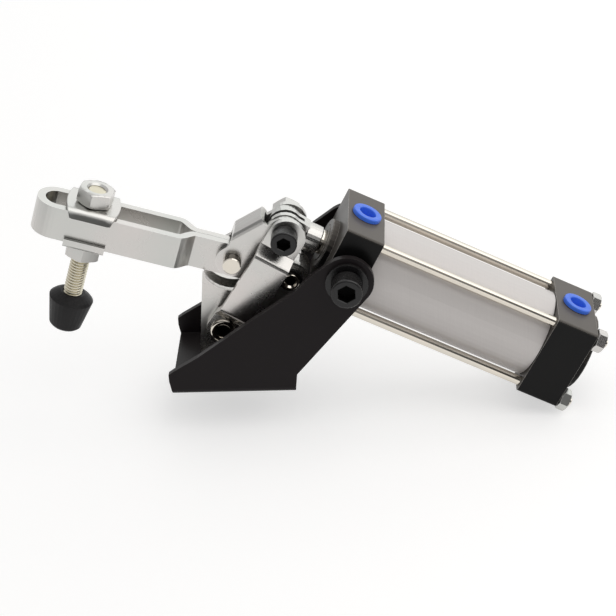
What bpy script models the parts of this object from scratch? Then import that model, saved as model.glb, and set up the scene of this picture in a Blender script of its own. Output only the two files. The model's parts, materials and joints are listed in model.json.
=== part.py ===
# Pneumatic toggle clamp, in metres, +Z up.
# The origin is the middle of the base channel's underside. The clamping bar points along -X, the
# cylinder lies along +X, and Y runs across the clamp, which is alike on both sides.

import bpy
import bmesh
from math import acos, atan2, cos, hypot, pi, radians, sin, sqrt

# Fits that the whole clamp shares
sheet = 0.0030
seat_gap = 0.0003
running_gap = 0.0003
overrun = 0.0100
round_steps = 28
small_round_steps = 20

# Pivots of the fixed frame, seen from the side as x and z. The bar's pivot is set
# from the link's, and the trunnion from the bar's.
link_pivot = (-0.0049, 0.0253)
trunnion_offset = (0.0276, 0.0089)

# Linkage: lengths between pivots and the link's angle in the pose shown
link_length = 0.0596
link_angle = radians(57.3)
frame_span_share = 0.71815
frame_angle = radians(37.405)
knuckle_length = 0.0297
bar_crank = 0.0294
bar_crank_angle = radians(1.84)

# Base channel
base_length = 0.0596
head_side_gap = 0.0040
base_bend_radius = 0.0018
base_nose_reach = 0.0014
base_nose_height = 0.0115
base_toe_height = 0.0080
base_heel_reach = 0.0011
base_heel_height = 0.0102
trunnion_ear_radius = 0.0128
ear_meet_angle = radians(123.5)
brow_shares = ((0.026, 0.035), (0.167, 0.191), (0.460, 0.575), (0.719, 0.905), (0.803, 1.062))
mount_hole_radius = 0.0033

# Centre post
post_front = 0.0184
post_rear = 0.0275
foot_side_gap = 0.0050
post_bend_radius = 0.0030
post_scoop_front_angle = radians(-159)
post_scoop_rear_angle = radians(-31)
post_eye_meet_angle = radians(150)
post_scoop_radius = 0.0158
post_eye_radius = 0.0085
foot_hole_inset = 0.0062
mount_hole_front_x = -0.0112
mount_hole_rear_x = 0.0200
foot_rivet_front_x = -0.0024
foot_rivet_rear_x = 0.0114
foot_rivet_radius = 0.0024
foot_rivet_head_radius = 0.0044
foot_rivet_head_height = 0.0022

# Pivot pins of the frame
bar_pin_radius = 0.0042
bar_pin_bore_radius = 0.0026
bar_pin_bore_depth = 0.0035
bar_pin_end_height = 0.0023
bar_washer_radius = 0.0063
bar_washer_thickness = 0.0010
bar_clip_radius = 0.0057
bar_clip_thickness = 0.0009
bar_groove_depth = 0.0008
link_pin_radius = 0.0050
link_pin_bore_radius = 0.0037
link_pin_head_radius = 0.0062
link_pin_head_height = 0.0014
edge_chamfer = 0.0004
nut_chamfer_share = 0.8
socket_depth_share = 0.55

# Long links
link_lower_radius = 0.0083
link_front_half_width = 0.0077
link_rear_half_width = 0.0102
link_joggle = 0.0054
link_lower_fold = 0.0070
link_upper_fold_back = 0.0092
link_fold_run = 0.0052
link_bend_radius = 0.0022

# Screw and nut at the top of the links
top_screw_radius = 0.0040
top_screw_head_radius = 0.0063
top_screw_head_height = 0.0080
top_screw_socket = 0.0060
top_nut_flats = 0.0130
top_nut_height = 0.0065
top_screw_tail = 0.0014

# Knuckle between the screw and the bar
knuckle_eye_radius = 0.0080
knuckle_web_top = 0.0130
knuckle_web_front = 0.0095
knuckle_web_toe = 0.0035
knuckle_web_rear = 0.0243
knuckle_bend_radius = 0.0020
knuckle_rivet_radius = 0.0030
knuckle_rivet_head_radius = 0.0044
knuckle_rivet_height = 0.0047
bar_slot_play = 0.0017

# Clamping bar
bar_strip = 0.0039
bar_leg_gap = 0.0002
bar_half_width = 0.0105
bar_reach = 0.1270
bar_depth = 0.0168
bar_centre_rise = -0.0002
bar_neck_front = 0.0576
bar_neck_rear = 0.0490

# Spindle, its washers and nuts
spindle_place = 0.0999
spindle_radius = 0.0046
spindle_top = 0.0187
spindle_bottom = -0.0535
saddle_sheet = 0.0019
saddle_length = 0.0200
saddle_lip = 0.0038
saddle_bend_radius = 0.0016
spindle_nut_flats = 0.0160
spindle_nut_height = 0.0075
thread_clearance = 0.0004

# Rubber cap
cap_top = -0.0422
cap_height = 0.0170
cap_top_radius = 0.0109
cap_bottom_radius = 0.0080
cap_collar_radius = 0.0062
cap_cone_height = 0.0024
cap_edge_round = 0.0012

# Cylinder, measured along its own axis from the trunnion
block_width = 0.0440
block_edge = 0.0012
head_front = -0.0101
head_length = 0.0191
head_boss_radius = 0.0126
head_boss_height = 0.0032
rear_cap_front = 0.1013
rear_cap_length = 0.0212
cap_boss_gap = 0.00056
cap_boss_height = 0.0035
tube_inset = 0.0004
tube_wall = 0.0020
spigot_length = 0.0030
tie_rod_radius = 0.0024
tie_rod_inset = 0.0038
tie_rod_thread = 0.0125
tie_nut_flats = 0.0100
tie_nut_height = 0.0046
tie_rod_tail = 0.0016
cushion_radius = 0.0100
cushion_front = -0.0035
cushion_rear = 0.1150
port_radius = 0.0072
port_hole_radius = 0.0041
port_proud = 0.0020
port_step = 0.0010
port_depth = 0.0070
front_port_place = -0.0008
rear_port_place = 0.1122
bush_radius = 0.0092
bush_proud = 0.0003
seal_thickness = 0.0025

# Trunnion screws
trunnion_screw_radius = 0.0050
trunnion_shoulder_radius = 0.0060
trunnion_head_radius = 0.0075
trunnion_head_height = 0.0095
trunnion_socket = 0.0080
trunnion_washer_radius = 0.0102
trunnion_washer_thickness = 0.0020
trunnion_thread = 0.0090

# Piston rod
rod_radius = 0.0060
rod_stud_radius = 0.0042
rod_stud_length = 0.0060
fork_half_width = 0.0041
fork_slot_half = 0.0013
fork_eye_radius = 0.0085
fork_flank_angle = radians(62)
fork_hole_play = 0.0015
fork_neck_radius = 0.0070
fork_neck_start = 0.0100
fork_neck_end = 0.0174
fork_slot_floor = 0.0070
piston_front = 0.0770
piston_length = 0.0150
piston_clearance = 0.0005
seal_groove_depth = 0.0025
seal_groove_width = 0.0034
seal_groove_share = 0.26
piston_nut_flats = 0.0130
piston_nut_height = 0.0050
rod_tail = 0.0012

# Places worked out from the sizes above
tail_half = bar_strip + bar_leg_gap / 2
post_inner = tail_half + running_gap
post_outer = post_inner + sheet
link_inner = post_outer + running_gap
link_outer = link_inner + sheet
base_width = block_width + 2 * (sheet + head_side_gap)
post_foot_reach = base_width / 2 - sheet - foot_side_gap
foot_hole_line = post_foot_reach - foot_hole_inset
link_upper_fold = link_length - link_upper_fold_back
link_eye_radius = (link_front_half_width + link_rear_half_width) / 2
link_eye_shift = (link_rear_half_width - link_front_half_width) / 2
head_rear = head_front + head_length
tube_outer_radius = block_width / 2 - tube_inset
tube_inner_radius = tube_outer_radius - tube_wall
spigot_radius = tube_inner_radius - seat_gap
tie_rod_place = block_width / 2 - tie_rod_inset
cap_boss_radius = tie_rod_place * sqrt(2) - tie_nut_flats / 2 / cos(pi / 6) - cap_boss_gap
floor_top = sheet
foot_bottom = floor_top + seat_gap
foot_top = foot_bottom + sheet


def point_at(start, distance, angle):
    return (start[0] + distance * cos(angle), start[1] + distance * sin(angle))


# The corner of a triangle that stands on two known corners, on the side away from the base
def third_corner(first, first_side, second, second_side):
    across = (second[0] - first[0], second[1] - first[1])
    span = hypot(*across)
    turn = acos((first_side ** 2 + span ** 2 - second_side ** 2) / (2 * first_side * span))
    return point_at(first, first_side, atan2(across[1], across[0]) + turn)


bar_pivot = point_at(link_pivot, link_length * frame_span_share, frame_angle)
trunnion_pivot = (bar_pivot[0] + trunnion_offset[0], bar_pivot[1] + trunnion_offset[1])
top_pivot = point_at(link_pivot, link_length, link_angle)
knuckle_pivot = third_corner(bar_pivot, bar_crank, top_pivot, knuckle_length)
knuckle_angle = atan2(top_pivot[1] - knuckle_pivot[1], top_pivot[0] - knuckle_pivot[0])
bar_angle = pi - atan2(knuckle_pivot[1] - bar_pivot[1], knuckle_pivot[0] - bar_pivot[0]) - bar_crank_angle
cylinder_angle = atan2(top_pivot[1] - trunnion_pivot[1], trunnion_pivot[0] - top_pivot[0])
rod_reach = hypot(top_pivot[0] - trunnion_pivot[0], top_pivot[1] - trunnion_pivot[1])

# Start from an empty scene
for old in list(bpy.data.objects):
    bpy.data.objects.remove(old, do_unlink=True)

parts = bpy.data.collections.new("pneumatic_toggle_clamp")
cutters = bpy.data.collections.new("cutters")
bpy.context.scene.collection.children.link(parts)
bpy.context.scene.collection.children.link(cutters)


def make_material(name, colour, roughness, metallic):
    made = bpy.data.materials.new(name)
    made.use_nodes = True
    shader = made.node_tree.nodes["Principled BSDF"]
    shader.inputs["Base Color"].default_value = (*colour, 1)
    shader.inputs["Roughness"].default_value = roughness
    shader.inputs["Metallic"].default_value = metallic
    return made


zinc = make_material("zinc_plate", (0.58, 0.56, 0.53), 0.35, 1.0)
black_steel = make_material("black_steel", (0.022, 0.018, 0.020), 0.38, 0.0)
black_screw = make_material("black_screw", (0.012, 0.012, 0.013), 0.30, 0.6)
black_aluminium = make_material("black_aluminium", (0.016, 0.016, 0.018), 0.42, 0.0)
satin_aluminium = make_material("satin_aluminium", (0.46, 0.44, 0.42), 0.38, 1.0)
bright_steel = make_material("bright_steel", (0.66, 0.65, 0.62), 0.22, 1.0)
blue_collar = make_material("blue_collar", (0.02, 0.09, 0.62), 0.35, 0.0)
rubber = make_material("rubber", (0.023, 0.023, 0.025), 0.72, 0.0)


def make_axis(name, place, turn):
    empty = bpy.data.objects.new(name, None)
    empty.location = (place[0], 0, place[1])
    empty.rotation_euler = (0, turn, 0)
    parts.objects.link(empty)
    return empty


# Each moving body hangs on an empty at its own joint
frame_axis = make_axis("frame_axis", (0, 0), 0)
link_axis = make_axis("link_axis", link_pivot, -link_angle)
knuckle_axis = make_axis("knuckle_axis", top_pivot, -knuckle_angle)
bar_axis = make_axis("bar_axis", bar_pivot, bar_angle)
cylinder_axis = make_axis("cylinder_axis", trunnion_pivot, cylinder_angle)
rod_axis = make_axis("rod_axis", trunnion_pivot, cylinder_angle)


def place_object(name, mesh, look, axis, place=(0, 0, 0), turn=(0, 0, 0)):
    made = bpy.data.objects.new(name, mesh)
    if look is None:
        cutters.objects.link(made)
        made.hide_render = True
        made.display_type = "WIRE"
    else:
        parts.objects.link(made)
        if not mesh.materials:
            mesh.materials.append(look)
    made.parent = axis
    made.location = place
    made.rotation_euler = turn
    return made


turns = {"x": (0, pi / 2, 0), "y": (-pi / 2, 0, 0), "z": (0, 0, 0)}


def boolean(target, tool, operation):
    step = target.modifiers.new(operation.lower(), "BOOLEAN")
    step.operation = operation
    step.solver = "EXACT"
    step.object = tool


def baked(source):
    bpy.context.view_layer.update()
    evaluated = source.evaluated_get(bpy.context.evaluated_depsgraph_get())
    mesh = bpy.data.meshes.new_from_object(evaluated)
    mesh.name = source.name
    return mesh


# A turned piece from a profile of radius and height, run down its outer side
def turned(name, profile, look, axis, place=(0, 0, 0), along="z", closed=False, steps=round_steps):
    mesh = bpy.data.meshes.new(name)
    count = len(profile)
    edges = [(i, i + 1) for i in range(count - 1)]
    if closed:
        edges.append((count - 1, 0))
    mesh.from_pydata([(radius, 0, height) for radius, height in profile], edges, [])
    made = place_object(name, mesh, look, axis, place, turns[along])
    screw = made.modifiers.new("turn", "SCREW")
    screw.angle = 2 * pi
    screw.steps = steps
    screw.render_steps = steps
    screw.use_merge_vertices = True
    screw.merge_threshold = 0.00001
    screw.use_smooth_shade = True
    return made


def solid_profile(*points):
    return [(0, points[0][1]), *points, (0, points[-1][1])]


def arc(centre, radius, start, end, steps):
    return [point_at(centre, radius, start + (end - start) * i / steps) for i in range(steps + 1)]


def circle(centre, radius, steps=small_round_steps):
    return arc(centre, radius, 0, 2 * pi, steps)[:-1]


# Rounds the inner corners of an open path
def rounded(path, radius, steps=4):
    out = [path[0]]
    for before, corner, after in zip(path, path[1:], path[2:]):
        start = atan2(corner[1] - before[1], corner[0] - before[0])
        turn = atan2(after[1] - corner[1], after[0] - corner[0]) - start
        turn = (turn + pi) % (2 * pi) - pi
        side = 1 if turn > 0 else -1
        first = point_at(corner, -radius * abs(sin(turn / 2) / cos(turn / 2)), start)
        centre = point_at(first, radius * side, start + pi / 2)
        out += arc(centre, radius, start - side * pi / 2, start - side * pi / 2 + turn, steps)
    out.append(path[-1])
    return out


# The outline of a strip of metal that follows a path down its middle
def strip_outline(path, thickness):
    sides = ([], [])
    for i, point in enumerate(path):
        before = path[max(i - 1, 0)]
        after = path[min(i + 1, len(path) - 1)]
        first = atan2(point[1] - before[1], point[0] - before[0]) if i else None
        second = atan2(after[1] - point[1], after[0] - point[0]) if i < len(path) - 1 else None
        first = second if first is None else first
        second = first if second is None else second
        half_turn = ((second - first + pi) % (2 * pi) - pi) / 2
        reach = thickness / 2 / cos(half_turn)
        sides[0].append(point_at(point, reach, first + half_turn + pi / 2))
        sides[1].append(point_at(point, -reach, first + half_turn + pi / 2))
    return sides[0] + sides[1][::-1]


# Turns the faces of each separate body outwards, going by the sign of its volume
def face_outwards(work):
    bmesh.ops.recalc_face_normals(work, faces=work.faces)
    left = set(work.faces)
    while left:
        body = [left.pop()]
        for face in body:
            for edge in face.edges:
                fresh = [other for other in edge.link_faces if other in left]
                left.difference_update(fresh)
                body.extend(fresh)
        volume = sum(face.normal.dot(face.calc_center_median()) * face.calc_area() for face in body)
        if volume < 0:
            bmesh.ops.reverse_faces(work, faces=body)


# A solid from flat outlines, with inner ones as holes, as deep as the two levels say.
# Seen as "side" it lies in x and z, as "front" in y and z, and as "plan" in x and y.
def outline_solid(name, rings, low, high, look, axis, seen="side", place=(0, 0, 0)):
    curve = bpy.data.curves.new(name, "CURVE")
    curve.dimensions = "2D"
    curve.fill_mode = "BOTH"
    curve.extrude = (high - low) / 2
    for ring in rings:
        spline = curve.splines.new("POLY")
        spline.points.add(len(ring) - 1)
        for point, (across, up) in zip(spline.points, ring):
            point.co = (across, up, 0, 1)
        spline.use_cyclic_u = True
    guide = bpy.data.objects.new(name + "_outline", curve)
    cutters.objects.link(guide)
    mesh = baked(guide)
    bpy.data.objects.remove(guide, do_unlink=True)
    middle = (low + high) / 2
    work = bmesh.new()
    work.from_mesh(mesh)
    bmesh.ops.remove_doubles(work, verts=work.verts, dist=0.000001)
    for vertex in work.verts:
        across, up, deep = vertex.co
        if seen == "side":
            vertex.co = (across, middle - deep, up)
        elif seen == "front":
            vertex.co = (middle + deep, across, up)
        else:
            vertex.co = (across, up, middle + deep)
    face_outwards(work)
    work.to_mesh(mesh)
    work.free()
    mesh.materials.clear()
    return place_object(name, mesh, look, axis, place)


def drill(target, name, holes, low, high, axis, seen="plan"):
    tool = outline_solid(name, holes, low, high, None, axis, seen)
    boolean(target, tool, "DIFFERENCE")


def hexagon(flats):
    return [point_at((0, 0), flats / 2 / cos(pi / 6), pi / 6 + pi / 3 * i) for i in range(6)]


# A chamfered nut that stands on its seat at height zero
def nut_mesh(name, flats, height, bore):
    corner = flats / 2 / cos(pi / 6)
    bevel = (corner - flats / 2) * nut_chamfer_share
    rough = outline_solid(name, [hexagon(flats), circle((0, 0), bore, 12)], 0, height, zinc, None, "plan")
    dome = turned(name + "_dome", solid_profile(
        (flats / 2, height), (corner, height - bevel), (corner, bevel), (flats / 2, 0)),
        None, None, steps=12)
    boolean(rough, dome, "INTERSECT")
    mesh = baked(rough)
    bpy.data.objects.remove(rough, do_unlink=True)
    bpy.data.objects.remove(dome, do_unlink=True)
    return mesh


# A socket screw whose shank end is first, with its head and shank steps along +Z
def socket_screw(name, shank, head_radius, head_height, socket, look, axis, place, turn):
    seat = shank[0][1]
    top = seat + head_height
    profile = solid_profile(
        (head_radius - edge_chamfer, top), (head_radius, top - edge_chamfer), (head_radius, seat), *shank)
    made = turned(name, profile, look, axis, place, "z", steps=small_round_steps)
    made.rotation_euler = turn
    socket_tool = outline_solid(name + "_socket", [hexagon(socket)], top - head_height * socket_depth_share,
                                top + overrun, None, axis, "plan", place)
    socket_tool.rotation_euler = turn
    boolean(made, socket_tool, "DIFFERENCE")
    return made


def tangent_point(outside, centre, radius, side):
    away = atan2(outside[1] - centre[1], outside[0] - centre[0])
    distance = hypot(outside[0] - centre[0], outside[1] - centre[1])
    return away + side * acos(radius / distance)


# Base channel: a U section cut to the side outline, with the mounting and rivet holes
def build_base_channel():
    half = base_length / 2
    wall = base_width / 2 - sheet / 2
    high = trunnion_pivot[1] + trunnion_ear_radius + overrun
    section = strip_outline(rounded(
        [(-wall, high), (-wall, sheet / 2), (wall, sheet / 2), (wall, high)], base_bend_radius), sheet)
    length = trunnion_pivot[0] + half + 2 * overrun
    channel = outline_solid("base_channel", [section], -half - overrun, length, black_steel,
                            frame_axis, "front")
    nose = (-half - base_nose_reach, base_nose_height)
    heel = (half + base_heel_reach, base_heel_height)
    rise = tangent_point(heel, trunnion_pivot, trunnion_ear_radius, 1)
    run = (trunnion_pivot[0] - nose[0], trunnion_pivot[1] - nose[1])
    brow = [(nose[0] + run[0] * along, nose[1] + run[1] * up) for along, up in brow_shares]
    outline = [(-half, 0), (half, 0), heel]
    outline += arc(trunnion_pivot, trunnion_ear_radius, rise, ear_meet_angle, 20)
    outline += brow[::-1] + [nose, (nose[0], base_toe_height)]
    trunnion_hole = circle(trunnion_pivot, trunnion_shoulder_radius + running_gap)
    side = outline_solid("base_outline", [outline, trunnion_hole], -base_width, base_width, None,
                         frame_axis)
    boolean(channel, side, "INTERSECT")
    holes = foot_holes(1) + foot_holes(-1)
    drill(channel, "base_holes", holes, -overrun, foot_bottom, frame_axis)


def foot_holes(side):
    line = side * foot_hole_line
    holes = [circle((x, line), mount_hole_radius, 16) for x in (mount_hole_front_x, mount_hole_rear_x)]
    holes += [circle((x, line), foot_rivet_radius + seat_gap, 16)
              for x in (foot_rivet_front_x, foot_rivet_rear_x)]
    return holes


# Centre post: two mirrored halves, each bent outwards at the foot
def build_post(name, side):
    middle = post_inner + sheet / 2
    high = bar_pivot[1] + post_eye_radius + overrun
    path = [(middle, high), (middle, foot_bottom + sheet / 2), (post_foot_reach, foot_bottom + sheet / 2)]
    section = strip_outline(rounded(path, post_bend_radius), sheet)
    section = [(side * across, up) for across, up in section]
    post = outline_solid(name, [section], -post_front - overrun, bar_pivot[0] + 2 * overrun, zinc,
                         frame_axis, "front")
    outline = [(-post_front, 0), (post_rear, 0)]
    rise = tangent_point((post_rear, 0), bar_pivot, post_eye_radius, 1)
    outline += arc(bar_pivot, post_eye_radius, rise, post_eye_meet_angle, 12)
    outline += arc(knuckle_pivot, post_scoop_radius, post_scoop_rear_angle, post_scoop_front_angle, 12)
    bar_hole = circle(bar_pivot, bar_pin_radius + running_gap)
    link_hole = circle(link_pivot, link_pin_radius + running_gap)
    cut = outline_solid(name + "_outline", [outline, bar_hole, link_hole],
                        -post_foot_reach - overrun, post_foot_reach + overrun, None, frame_axis)
    boolean(post, cut, "INTERSECT")
    drill(post, name + "_holes", foot_holes(side), 0, foot_top + overrun, frame_axis)


def build_foot_rivets():
    head = foot_top + seat_gap
    places = [(x, side * foot_hole_line) for side in (-1, 1) for x in (foot_rivet_front_x, foot_rivet_rear_x)]
    dome = [(foot_rivet_head_radius * cos(a), head + foot_rivet_head_height * sin(a))
            for a in (radians(80), radians(50), radians(25), 0)]
    profile = solid_profile(*dome, (foot_rivet_radius, head), (foot_rivet_radius, seat_gap))
    for number, (x, y) in enumerate(places, 1):
        turned(f"foot_rivet_{number}", profile, zinc, frame_axis, (x, y, 0), steps=small_round_steps)


# Fixed pivot of the bar: a pin with a washer and a clip in a groove at each end
def build_bar_pivot():
    x, z = bar_pivot
    washer_start = post_outer + running_gap
    clip_start = washer_start + bar_washer_thickness + running_gap
    groove_start = clip_start - seat_gap / 2
    groove_end = clip_start + bar_clip_thickness + seat_gap / 2
    end = groove_end + bar_pin_end_height - bar_clip_thickness + edge_chamfer
    groove = bar_pin_radius - bar_groove_depth
    half = [(bar_pin_bore_radius, end - bar_pin_bore_depth), (bar_pin_bore_radius, end),
            (bar_pin_radius - edge_chamfer, end), (bar_pin_radius, end - edge_chamfer),
            (bar_pin_radius, groove_end), (groove, groove_end), (groove, groove_start),
            (bar_pin_radius, groove_start)]
    profile = half + [(radius, -height) for radius, height in half[::-1]]
    profile = [(0, end - bar_pin_bore_depth), *profile, (0, bar_pin_bore_depth - end)]
    turned("bar_pivot_pin", profile, bright_steel, frame_axis, (x, 0, z), "y", steps=small_round_steps)
    bore = bar_pin_radius + seat_gap
    clip_bore = groove + seat_gap
    for name, side in (("near", -1), ("far", 1)):
        ring("bar_pivot_washer_" + name, bore, bar_washer_radius, washer_start, bar_washer_thickness,
             zinc, frame_axis, (x, 0, z), side)
        ring("bar_pivot_clip_" + name, clip_bore, bar_clip_radius, clip_start, bar_clip_thickness,
             black_screw, frame_axis, (x, 0, z), side)


# A flat ring across the clamp, from one level outwards
def ring(name, inner, outer, start, thickness, look, axis, place, side):
    low, high = sorted((side * start, side * (start + thickness)))
    profile = [(inner, high), (outer, high), (outer, low), (inner, low)]
    turned(name, profile, look, axis, place, "y", closed=True, steps=small_round_steps)


def build_link_pivot():
    seat = link_outer + running_gap
    end = seat + link_pin_head_height
    outer = [(link_pin_bore_radius + edge_chamfer, end), (link_pin_head_radius, end - edge_chamfer),
             (link_pin_head_radius, seat), (link_pin_radius, seat)]
    outer += [(radius, -height) for radius, height in outer[::-1]]
    bore = link_pin_bore_radius
    profile = outer + [(bore, -end + edge_chamfer), (bore, end - edge_chamfer)]
    turned("link_pivot_pin", profile, bright_steel, frame_axis, (link_pivot[0], 0, link_pivot[1]), "y",
           closed=True, steps=small_round_steps)


# Long links: a joggled strip that stands clear of the rivet and the bar's pin, cut to its outline
def build_link(name, side):
    low = link_inner + sheet / 2
    high = low + link_joggle
    path = [(-link_lower_radius - overrun, low), (link_lower_fold, low),
            (link_lower_fold + link_fold_run, high),
            (link_upper_fold - link_fold_run, high), (link_upper_fold, low),
            (link_length + link_eye_radius + overrun, low)]
    strip = strip_outline(rounded(path, link_bend_radius), sheet)
    strip = [(along, side * across) for along, across in strip]
    reach = link_rear_half_width + overrun
    link = outline_solid(name, [strip], -reach, reach, zinc, link_axis, "plan")
    waist = link_lower_fold + link_fold_run
    outline = arc((0, 0), link_lower_radius, radians(95), radians(265), 12)
    outline += [(waist, -link_rear_half_width)]
    outline += arc((link_length, -link_eye_shift), link_eye_radius, radians(-90), radians(90), 16)
    outline += [(waist, link_front_half_width)]
    lower_hole = circle((0, 0), link_pin_radius + running_gap)
    upper_hole = circle((link_length, 0), top_screw_radius + running_gap)
    cut = outline_solid(name + "_outline", [outline, lower_hole, upper_hole], -reach - high, reach + high,
                        None, link_axis)
    boolean(link, cut, "INTERSECT")


def build_top_screw():
    seat = link_outer + seat_gap
    tail = seat + top_nut_height + top_screw_tail
    shank = [(top_screw_radius, -tail + edge_chamfer), (top_screw_radius - edge_chamfer, -tail)]
    place = (link_length, 0, 0)
    socket_screw("link_top_screw", [(top_screw_radius, seat), *shank], top_screw_head_radius,
                 top_screw_head_height, top_screw_socket, black_screw, link_axis, place, (pi / 2, 0, 0))
    nut = nut_mesh("link_top_nut", top_nut_flats, top_nut_height, top_screw_radius + seat_gap)
    place_object("link_top_nut", nut, zinc, link_axis, (link_length, seat, 0), turns["y"])


# Knuckle: a folded channel from the links' top screw to the bar, with its web above the bar
def build_knuckle():
    wall = post_inner + sheet / 2
    web = knuckle_web_top - sheet / 2
    low = -knuckle_eye_radius - overrun
    section = strip_outline(rounded([(-wall, low), (-wall, web), (wall, web), (wall, low)],
                                    knuckle_bend_radius), sheet)
    start = -knuckle_length - knuckle_eye_radius - overrun
    knuckle = outline_solid("knuckle_channel", [section], start, knuckle_eye_radius + overrun, zinc,
                            knuckle_axis, "front")
    front_eye = (-knuckle_length, 0)
    outline = arc((0, 0), knuckle_eye_radius, radians(-90), radians(90), 14)
    outline += [(knuckle_web_rear - knuckle_length, knuckle_eye_radius)]
    outline += [(knuckle_web_rear - knuckle_length, knuckle_web_top)]
    outline += [(knuckle_web_front - knuckle_length, knuckle_web_top)]
    outline += [(knuckle_web_toe - knuckle_length, knuckle_eye_radius)]
    outline += arc(front_eye, knuckle_eye_radius, radians(90), radians(270), 14)
    rivet_hole = circle(front_eye, knuckle_rivet_radius + seat_gap)
    screw_hole = circle((0, 0), top_screw_radius + running_gap)
    cut = outline_solid("knuckle_outline", [outline, rivet_hole, screw_hole], -base_width, base_width,
                        None, knuckle_axis)
    boolean(knuckle, cut, "INTERSECT")
    seat = post_outer + seat_gap
    end = seat + knuckle_rivet_height
    half = [(knuckle_rivet_head_radius - edge_chamfer, end), (knuckle_rivet_head_radius, end - edge_chamfer),
            (knuckle_rivet_head_radius, seat), (knuckle_rivet_radius, seat)]
    profile = solid_profile(*half, *[(radius, -height) for radius, height in half[::-1]])
    turned("knuckle_rivet", profile, bright_steel, knuckle_axis, (-knuckle_length, 0, 0), "y",
           steps=small_round_steps)


# Smooth change from one width to another, as points along a path
def eased(start, end, steps):
    rows = []
    for i in range(steps + 1):
        share = i / steps
        rise = (1 - cos(pi * share)) / 2
        rows.append((start[0] + (end[0] - start[0]) * share, start[1] + (end[1] - start[1]) * rise))
    return rows


# Clamping bar: one strip on edge, folded round at the nose and drawn together at the tail
def build_bar():
    tail = bar_leg_gap / 2 + bar_strip / 2
    wide = bar_half_width - bar_strip / 2
    nose = -(bar_reach - bar_half_width)
    leg = [(bar_depth / 2 + overrun, tail)]
    leg += eased((-bar_neck_rear, tail), (-bar_neck_front, wide), 8)
    nose_arc = arc((nose, 0), wide, pi / 2, 3 * pi / 2, 16)
    path = leg + nose_arc + [(x, -y) for x, y in leg[::-1]]
    tall = bar_depth + overrun
    bar = outline_solid("u_bar", [strip_outline(path, bar_strip)], -tall, tall, zinc, bar_axis, "plan")
    top = bar_centre_rise + bar_depth / 2
    bottom = bar_centre_rise - bar_depth / 2
    front = -(bar_reach + overrun)
    outline = [(front, top), (front, bottom)]
    outline += arc((0, bar_centre_rise), bar_depth / 2, radians(-90), radians(90), 14)
    pin_hole = circle((0, 0), bar_pin_radius + running_gap)
    crank = point_at((0, 0), bar_crank, pi - bar_crank_angle)
    rivet_hole = circle(crank, knuckle_rivet_radius + bar_slot_play)
    cut = outline_solid("bar_outline", [outline, pin_hole, rivet_hole], -base_width, base_width, None,
                        bar_axis)
    boolean(bar, cut, "INTERSECT")


# Saddle washers: folded plates whose lips clasp the bar's legs from above and from below
def build_saddle(name, side):
    edge = bar_centre_rise + side * (bar_depth / 2 + seat_gap + saddle_sheet / 2)
    wall = bar_half_width + seat_gap + saddle_sheet / 2
    lip = edge - side * saddle_lip
    path = rounded([(-wall, lip), (-wall, edge), (wall, edge), (wall, lip)], saddle_bend_radius)
    half = saddle_length / 2
    saddle = outline_solid(name, [strip_outline(path, saddle_sheet)], -half, half, zinc, bar_axis,
                           "front", (-spindle_place, 0, 0))
    hole = [circle((-spindle_place, 0), spindle_radius + thread_clearance)]
    drill(saddle, name + "_hole", hole, edge - saddle_sheet, edge + saddle_sheet, bar_axis)


def build_spindle():
    place = (-spindle_place, 0, 0)
    inner = spindle_radius - edge_chamfer
    turned("spindle", solid_profile(
        (inner, spindle_top), (spindle_radius, spindle_top - edge_chamfer),
        (spindle_radius, spindle_bottom + edge_chamfer), (inner, spindle_bottom)),
        zinc, bar_axis, place, steps=small_round_steps)
    nut = nut_mesh("spindle_nut", spindle_nut_flats, spindle_nut_height, spindle_radius + seat_gap)
    top_seat = bar_centre_rise + bar_depth / 2 + saddle_sheet + 2 * seat_gap
    bottom_seat = bar_centre_rise - bar_depth / 2 - saddle_sheet - 2 * seat_gap
    place_object("upper_nut", nut, zinc, bar_axis, (-spindle_place, 0, top_seat))
    place_object("lower_nut", nut, zinc, bar_axis, (-spindle_place, 0, bottom_seat - spindle_nut_height))


def build_rubber_cap():
    bore = spindle_radius + seat_gap
    base = cap_top - cap_height
    shoulder = cap_top - cap_edge_round
    profile = [(cap_collar_radius, cap_top + cap_cone_height), (cap_top_radius - cap_edge_round, cap_top),
               (cap_top_radius, shoulder), (cap_bottom_radius, base + cap_edge_round),
               (cap_bottom_radius - cap_edge_round, base), (0, base),
               (0, spindle_bottom - seat_gap), (bore, spindle_bottom - seat_gap),
               (bore, cap_top + cap_cone_height), (cap_collar_radius, cap_top + cap_cone_height)][:-1]
    turned("rubber_cap", profile, rubber, bar_axis, (-spindle_place, 0, 0), closed=True)


# A square end block of the cylinder with rounded long edges
def end_block(name, start, end):
    half = block_width / 2
    corner = half - block_edge
    outline = []
    for number, (side, up) in enumerate(((1, 1), (-1, 1), (-1, -1), (1, -1))):
        first = number * pi / 2
        outline += arc((side * corner, up * corner), block_edge, first, first + pi / 2, 3)
    return outline_solid(name, [outline], start, end, black_aluminium, cylinder_axis, "front")


def tie_places():
    return [(side * tie_rod_place, up * tie_rod_place) for side in (-1, 1) for up in (1, -1)]


# A round hollow along the cylinder's axis, as steps of radius from one level to the next
def hollow(target, name, steps):
    profile = []
    for radius, low, high in steps:
        profile += [(radius, high), (radius, low)]
    tool = turned(name, solid_profile(*profile), None, cylinder_axis, along="x")
    boolean(target, tool, "DIFFERENCE")


def drill_port(target, name, place):
    top = block_width / 2
    wide = port_radius - port_step + seat_gap
    tool = turned(name, solid_profile(
        (wide, top + overrun), (wide, top - port_depth),
        (port_hole_radius, top - port_depth), (port_hole_radius, cushion_radius / 2)),
        None, cylinder_axis, (place, 0, 0), steps=small_round_steps)
    boolean(target, tool, "DIFFERENCE")


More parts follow.
